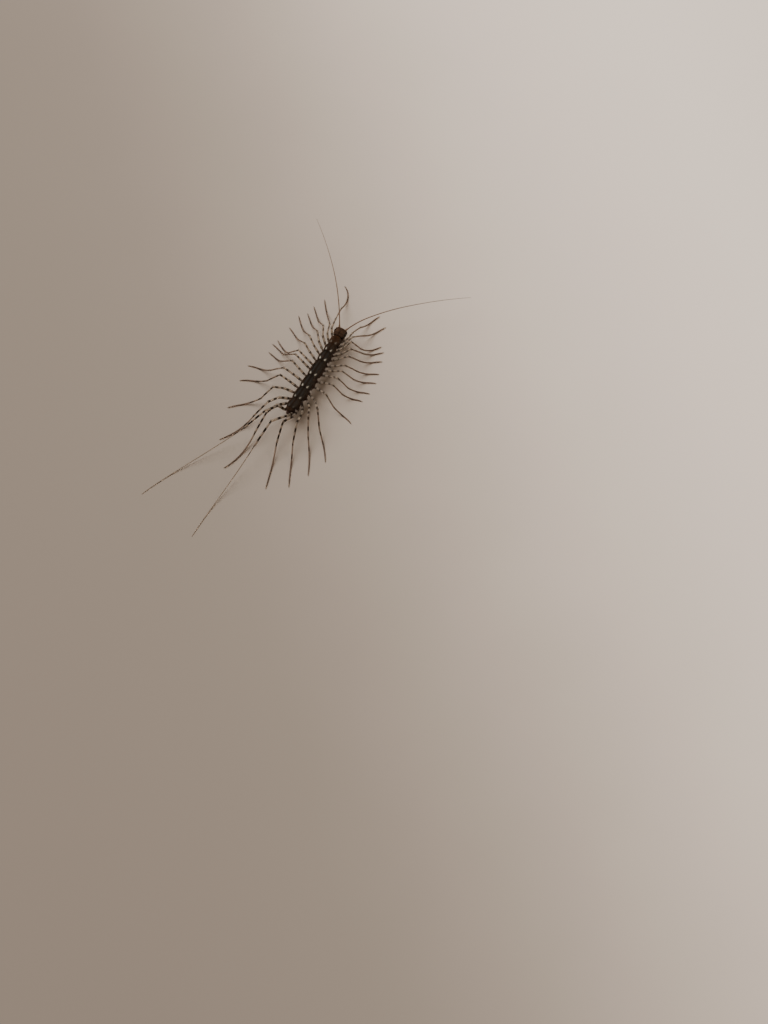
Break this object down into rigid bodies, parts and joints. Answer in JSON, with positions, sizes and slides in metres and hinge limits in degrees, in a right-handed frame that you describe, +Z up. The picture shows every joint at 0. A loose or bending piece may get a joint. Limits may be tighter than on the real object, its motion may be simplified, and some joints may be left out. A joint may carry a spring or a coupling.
{
  "type": "house centipede",
  "caption": "Long low arthropod with a plated trunk, thin feelers and slender bent legs spread on the floor, shown standing still as a life-size natural history model.",
  "frame": {"origin": "middle of the footprint's bounding box, on the floor that the feet rest on", "axes": "+Z up, +Y towards the animal's head along its trunk, +X to its right"},
  "size_m": [0.0576, 0.1098, 0.01],
  "materials": {
    "plate": "glossy dark brown, nearly black shell plates with pale paired spots near their rear edges",
    "head": "glossy dark red-brown shell",
    "eye": "black many-faceted eye",
    "claw": "smooth red-brown horn, darker at the tips",
    "feeler": "fine-haired brown rings",
    "leg": "pale tan shell with dark bands, greyer towards the feet"
  },
  "bodies": {
    "root": {"antenna_left": "feeler", "antenna_right": "feeler", "eye_left": "eye", "eye_right": "eye", "forcipule_left": "claw", "forcipule_right": "claw", "head": "head", "leg_left_01": "leg", "leg_left_02": "leg", "leg_left_03": "leg", "leg_left_04": "leg", "leg_left_05": "leg", "leg_left_06": "leg", "leg_left_07": "leg", "leg_left_08": "leg", "leg_left_09": "leg", "leg_left_10": "leg", "leg_left_11": "leg", "leg_left_12": "leg", "leg_left_13": "leg", "leg_left_14": "leg", "leg_left_15": "leg", "leg_right_01": "leg", "leg_right_02": "leg", "leg_right_03": "leg", "leg_right_04": "leg", "leg_right_05": "leg", "leg_right_06": "leg", "leg_right_07": "leg", "leg_right_08": "leg", "leg_right_09": "leg", "leg_right_10": "leg", "leg_right_11": "leg", "leg_right_12": "leg", "leg_right_13": "leg", "leg_right_14": "leg", "leg_right_15": "leg", "palp_left": "claw", "palp_right": "claw", "tail": "plate", "trunk_1": "plate", "trunk_2": "plate", "trunk_3": "plate", "trunk_4": "plate", "trunk_5": "plate", "trunk_6": "plate", "trunk_7": "plate"}
  },
  "joints": []
}
